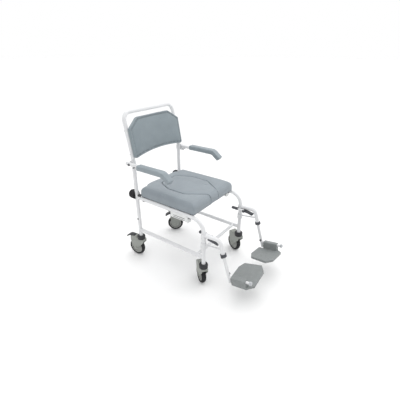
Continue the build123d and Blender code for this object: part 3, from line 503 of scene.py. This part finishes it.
def make_seat_cushion():
    """The U of moulded foam, rounded outside and tight round its keyhole."""
    low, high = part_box("seat_pad")
    outer = Outline(cap_loops("seat_pad", UP, ACROSS, -1))
    insert = Outline(cap_loops("seat_insert", UP, ACROSS, 1))
    full = whole_seat()
    swell = 1.0 * MM

    def field(points):
        x, y, z = points.T
        rim = full(x, y)
        top = lay_on_seat(x, y, rim, high.z + SEAT_CROWN)
        wall = both(rim + swell, z - top, edge_rounding(y))
        wall = both(wall, low.z - z, 4 * MM)
        return both(wall, outer(x, y) + SEAM_SETBACK, KEYHOLE_ROUNDING)

    def reach(points):
        gap = insert(points[:, 0], points[:, 1])
        share = smoothstep(points[:, 2], low.z + 6 * MM, high.z - 12 * MM)
        return 3.0 * MM * share * smoothstep(gap, 5 * MM, 18 * MM)

    piece = soft_copy("seat_pad", "seat_cushion", 4.2 * MM)
    set_coordinates(piece.data, settle_on(coordinates(piece.data), field))
    inflate(piece, reach)
    finish_soft(piece, "seat_pad", "seat_cushion", "frame")


def make_seat_insert():
    """The lift-out foam, a little proud of the seat and pushed to its left, with a finger dimple."""
    low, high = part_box("seat_insert")
    pad_low, pad_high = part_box("seat_pad")
    shape = Outline(cap_loops("seat_insert", UP, ACROSS, 1))
    full = whole_seat()
    dimple_x, dimple_y, dimple_r, dimple_depth = 62 * MM, low.y + 114 * MM, 9 * MM, 2.4 * MM
    shift, swell = 2.1 * MM, 1.0 * MM

    def field(points):
        x, y, z = points.T
        rim = full(x, y)
        away = (x - dimple_x) ** 2 + (y - dimple_y) ** 2
        dimple = dimple_depth * np.exp(-(away / dimple_r**2))
        top = lay_on_seat(x, y, rim, pad_high.z + INSERT_CROWN) - dimple
        body = both(rim + swell, z - top, edge_rounding(y))
        body = both(body, shape(x - shift, y) + SEAM_SETBACK, KEYHOLE_ROUNDING)
        return both(body, pad_low.z - z, 3 * MM)

    def reach(points):
        share = smoothstep(points[:, 2], pad_low.z + 8 * MM, high.z - 14 * MM)
        return 2.0 * MM * share * smoothstep(-shape(points[:, 0], points[:, 1]), 4 * MM, 18 * MM)

    piece = soft_copy("seat_insert", "seat_insert_cushion", 4 * MM)
    points = coordinates(piece.data)
    points[:, 2] = np.maximum(points[:, 2], pad_low.z - 3 * MM)
    set_coordinates(piece.data, settle_on(points, field))
    inflate(piece, reach)
    finish_soft(piece, "seat_insert", "seat_insert_cushion", "seat_insert")


def make_back_cushion():
    """The dished backrest: a crowned face inside an embossed border."""
    recline = radians(10.5)
    up = Vector((0, sin(recline), cos(recline)))
    front = Vector((0, -cos(recline), sin(recline)))
    basis = np.array([ACROSS, up, front])
    segments = cap_loops("backrest_pad", front, ACROSS, 1)
    segments[:, :, 1] *= -1 if front.cross(ACROSS).dot(up) < 0 else 1
    outline = Outline(segments)
    cad = coordinates(frame["nodes"]["backrest_pad"].data) @ basis.T
    half = np.abs(cad[:, 0]).max()
    dish, thickness = 15 * MM, 28 * MM
    edge_level = cad[:, 2].max()
    swell, crown_height, rounding = 3.5 * MM, 2.5 * MM, 5 * MM
    groove_inset, groove_width, groove_depth = 12 * MM, 4.8 * MM, 6.5 * MM
    screw_u, screw_v = half - 22 * MM, cad[:, 1].min() + 34 * MM
    screw_r, screw_depth = 4.5 * MM, 3.0 * MM

    def depth(u, w):
        """How far a point stands in front of the pad's dished back."""
        return w - (edge_level - thickness) + dish * (1 - (u / half) ** 2)

    def field(points):
        u, v, w = (points @ basis.T).T
        rim, level = outline(u, v), depth(u, w)
        groove = groove_depth * np.exp(-(((rim + groove_inset) / groove_width) ** 2))
        crown = crown_height * smoothstep(-rim, 20 * MM, 80 * MM)
        away = (np.abs(u) - screw_u) ** 2 + (v - screw_v) ** 2
        screw = screw_depth * np.exp(-(away / screw_r**2))
        front = thickness - swell + crown - groove - screw
        face = both(rim + 0.5 * MM, level - front, rounding)
        return both(face, -level + 0.4 * MM, rounding)

    piece = soft_copy("backrest_pad", "back_cushion", 3.6 * MM)
    set_coordinates(piece.data, settle_on(coordinates(piece.data), field))

    def reach(points):
        u, v, w = (points @ basis.T).T
        share = smoothstep(depth(u, w), 8 * MM, 22 * MM)
        return 2.0 * MM * share * smoothstep(-outline(u, v), 14 * MM, 40 * MM)

    inflate(piece, reach)
    finish_soft(piece, "backrest_pad", "back_cushion", "frame")


def make_arm_cushion(name):
    """A moulded sleeve of foam round the arm's tube, bent down at its tip."""
    node = f"armrest_pad_{name}"
    low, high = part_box(node)
    half_width, half_height = (high.x - low.x) / 2, 16 * MM
    centre_x = (low.x + high.x) / 2
    droop, bend_r, tip_length = radians(36), 38 * MM, 68 * MM
    axis_z = high.z - half_height
    bend_y = low.y + tip_length * cos(droop) + half_height * sin(droop)
    ease = bend_r * tan(droop / 2)
    straight, arc = high.y - bend_y - ease, bend_r * droop
    total = straight + arc + tip_length - ease

    def centre(s):
        """Y, Z and slope of the centre line at the length s from its rear end."""
        turn = min(max(s - straight, 0.0) / bend_r, droop)
        rest = max(s - straight - arc, 0.0)
        y = high.y - min(s, straight) - bend_r * sin(turn) - rest * cos(droop)
        z = axis_z - bend_r * (1 - cos(turn)) - rest * sin(droop)
        return y, z, turn

    rings, around, end_round, squareness = 84, 64, 5 * MM, 0.3
    mesh = bmesh.new()
    rows = []
    for i in range(rings + 1):
        s = total * i / rings
        gap = min(s, total - s, end_round)
        inset = end_round - (end_round**2 - (end_round - gap) ** 2) ** 0.5
        y, z, slope = centre(s)
        crown = 1.2 * MM * sin(pi * s / total)
        row = []
        for k in range(around):
            c, d = cos(2 * pi * (k + 0.5) / around), sin(2 * pi * (k + 0.5) / around)
            px = (half_width - inset) * abs(c) ** squareness * (1 if c > 0 else -1)
            pz = (half_height - inset) * abs(d) ** squareness * (1 if d > 0 else -1)
            pz += max(d, 0.0) * crown
            row.append(mesh.verts.new((centre_x + px, y - pz * sin(slope), z + pz * cos(slope))))
        rows.append(row)
    for first, second in zip(rows, rows[1:]):
        for k in range(around):
            mesh.faces.new((first[k], first[k - 1], second[k - 1], second[k]))
    mesh.faces.new(rows[0])
    mesh.faces.new(list(reversed(rows[-1])))
    piece = placed(f"arm_cushion_{name}", mesh)
    apply_modifier(piece, "REMESH", mode="VOXEL", voxel_size=2.6 * MM)
    set_coordinates(piece.data, even_out(piece.data, coordinates(piece.data), 1))
    inflate(piece, lambda points: np.full(len(points), 1.0 * MM))
    finish_soft(piece, node, "arm_cushion", f"armrest_{name}")


# ==== welds, and strips of painted shade in the slots ====


def middle_of(node):
    low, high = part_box(node)
    return (low + high) / 2


def weld_ring(mesh, centre, along, main, joining_r, main_r, drop=0.0):
    """A rippled bead where a tube leaves a main tube; `drop` shifts it across the main tube."""
    bead_r, steps, sides = 1.5 * MM, 72, 8
    across = along.cross(main)

    def seat(turn):
        c = joining_r * cos(turn) + drop
        reach = max(main_r**2 - c * c, 0.0) ** 0.5
        return centre + across * (c - drop) + main * (joining_r * sin(turn)) + along * reach

    rows = []
    for i in range(steps):
        turn = 2 * pi * i / steps
        here, ahead = seat(turn), seat(turn + 0.02)
        forward = (ahead - here).normalized()
        outward = forward.cross(along).normalized()
        upward = outward.cross(forward)
        r = bead_r * (1 + 0.1 * cos(24 * turn))
        row = []
        for k in range(sides):
            a = 2 * pi * k / sides
            row.append(mesh.verts.new(here + (outward * cos(a) + upward * sin(a)) * r))
        rows.append(row)
    for i, first in enumerate(rows):
        second = rows[(i + 1) % steps]
        for k in range(sides):
            mesh.faces.new((first[k], first[k - 1], second[k - 1], second[k]))


def weld_piece(name, body, rings):
    mesh = bmesh.new()
    for ring in rings:
        weld_ring(mesh, *ring)
    piece = placed(name, mesh)
    for polygon in piece.data.polygons:
        polygon.use_smooth = True
    piece.data.materials.append(MATERIALS["white_steel"])
    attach(piece, body)


def make_welds():
    """Beads where the rails, cross tubes and hangers are welded on."""
    tube_r, cross_r, sleeve_r, hanger_z = 12.5 * MM, 10 * MM, 17 * MM, 384 * MM
    rear_y = middle_of("rear_leg_left").y
    front_y = middle_of("hanger_rest_collars").y
    lower_z = middle_of("lower_side_rails").z
    seat_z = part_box("side_frame_left")[1].z - tube_r
    cross_low, cross_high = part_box("cross_tubes")
    rings = []
    for name, side in SIDES.items():
        x = middle_of(f"rear_leg_{name}").x
        rings += [
            (Vector((x, rear_y, lower_z)), -AHEAD, UP, tube_r, tube_r),
            (Vector((x, rear_y, seat_z)), -AHEAD, UP, tube_r, tube_r),
            (Vector((x, front_y, lower_z)), AHEAD, UP, tube_r, tube_r),
        ]
        inward = -side * ACROSS
        rings.append((Vector((x, cross_low.y + cross_r, lower_z)), inward, AHEAD, cross_r, tube_r))
        upper = Vector((x, cross_high.y - cross_r, cross_high.z - cross_r))
        rings.append((upper, inward, AHEAD, cross_r, tube_r, side * (seat_z - upper.z)))
        leaving = Vector((x, front_y, hanger_z))
        weld_piece(f"hanger_weld_{name}", f"hanger_{name}", [(leaving, -AHEAD, UP, tube_r, sleeve_r)])
    weld_piece("frame_welds", "frame", rings)


def make_slot_shade_strips():
    """Dark strips inside the two slots of each pan guide: painted shade that stands for the shade in the
    slots.
    """
    strip, slot_spacing, setback = (1.5 * MM, 92 * MM, 6 * MM), 11 * MM, 2.2 * MM
    low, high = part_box("pan_guides")
    middle_y, level = (low.y + high.y) / 2 + 2 * MM, low.z + 18 * MM
    mesh = bmesh.new()
    for side in SIDES.values():
        for up in (-slot_spacing / 2, slot_spacing / 2):
            block = bmesh.ops.create_cube(mesh, size=1.0)["verts"]
            bmesh.ops.scale(mesh, verts=block, vec=strip)
            place = Vector((side * (high.x - setback), middle_y, level + up))
            bmesh.ops.translate(mesh, verts=block, vec=place)
    # Painted shade: near-black strips darken the slots where shade falls.
    piece = placed("slot_shade_strips", mesh)
    piece.data.materials.append(MATERIALS["buffer_rubber"])
    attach(piece, "frame")


# ==== stage ====


def make_floor():
    mesh = bpy.data.meshes.new("floor")
    size, level = 60.0, -0.0005
    corners = [(-size, -size, level), (size, -size, level), (size, size, level), (-size, size, level)]
    mesh.from_pydata(corners, [], [(0, 1, 2, 3)])
    floor = bpy.data.objects.new("floor", mesh)
    scene.collection.objects.link(floor)
    s = Surface("floor", roughness=0.7, specular=0.2)
    s.colour(s.blend(s.spread(s.noise(0.6), 0.3, 0.7), (0.94, 0.94, 0.94), (0.96, 0.96, 0.96)))
    mesh.materials.append(s.material)


def sky_ramp(world, direction, low, high, dim, bright):
    """Brightness that grows from dim to bright as a ray turns towards a direction of the sky."""
    nodes, links = world.node_tree.nodes, world.node_tree.links
    along = nodes.new("ShaderNodeVectorMath")
    along.operation = "DOT_PRODUCT"
    along.inputs[1].default_value = direction
    links.new(nodes.new("ShaderNodeTexCoord").outputs["Generated"], along.inputs[0])
    ramp = nodes.new("ShaderNodeMapRange")
    for name, number in (("From Min", low), ("From Max", high), ("To Min", dim), ("To Max", bright)):
        ramp.inputs[name].default_value = number
    links.new(along.outputs["Value"], ramp.inputs["Value"])
    return ramp.outputs["Result"]


def make_world():
    """A studio sky: white behind the chair, dimmer on the camera's side, with a soft overhead."""
    world = bpy.data.worlds.new("studio")
    world.use_nodes = True
    nodes, links = world.node_tree.nodes, world.node_tree.links
    background = nodes["Background"]
    background.inputs["Color"].default_value = (1.0, 1.0, 1.0, 1.0)
    total = nodes.new("ShaderNodeMath")
    total.operation = "ADD"
    behind_chair, overhead = (0.81, 0.58, 0.0), (0.0, 0.0, 1.0)
    links.new(sky_ramp(world, behind_chair, -0.4, 0.45, 0.55, 1.0), total.inputs[0])
    links.new(sky_ramp(world, overhead, 0.2, 0.95, 0.0, 0.5), total.inputs[1])
    links.new(total.outputs[0], background.inputs["Strength"])
    scene.world = world


def make_lights():
    for name, place, size, power in (
        ("key", (-1.3, -0.9, 3.0), 1.8, 12),
        ("top", (0.6, 0.6, 2.8), 1.8, 11),
        ("fill", (2.2, -1.4, 1.4), 1.6, 7),
    ):
        lamp = bpy.data.lights.new(name, "AREA")
        lamp.size = size
        lamp.energy = power
        holder = bpy.data.objects.new(name, lamp)
        scene.collection.objects.link(holder)
        holder.location = place
        aim = Vector((0, 0, 0.5)) - Vector(place)
        holder.rotation_euler = aim.to_track_quat("-Z", "Y").to_euler()


def make_camera():
    camera = bpy.data.objects.new("camera", bpy.data.cameras.new("camera"))
    scene.collection.objects.link(camera)
    camera.location = (-1.4266, -1.0102, 1.3615)
    aim = Vector((0.0707, 0.0717, 0.4256)) - camera.location
    camera.rotation_euler = aim.to_track_quat("-Z", "Y").to_euler()
    camera.data.lens = 26.67
    camera.data.sensor_width = 36.0
    scene.camera = camera


scene.view_settings.view_transform = "Standard"
make_camera()
make_floor()
make_world()
make_lights()
dress_frame()
make_seat_cushion()
make_seat_insert()
make_back_cushion()
for side_name in SIDES:
    make_arm_cushion(side_name)
make_welds()
make_slot_shade_strips()
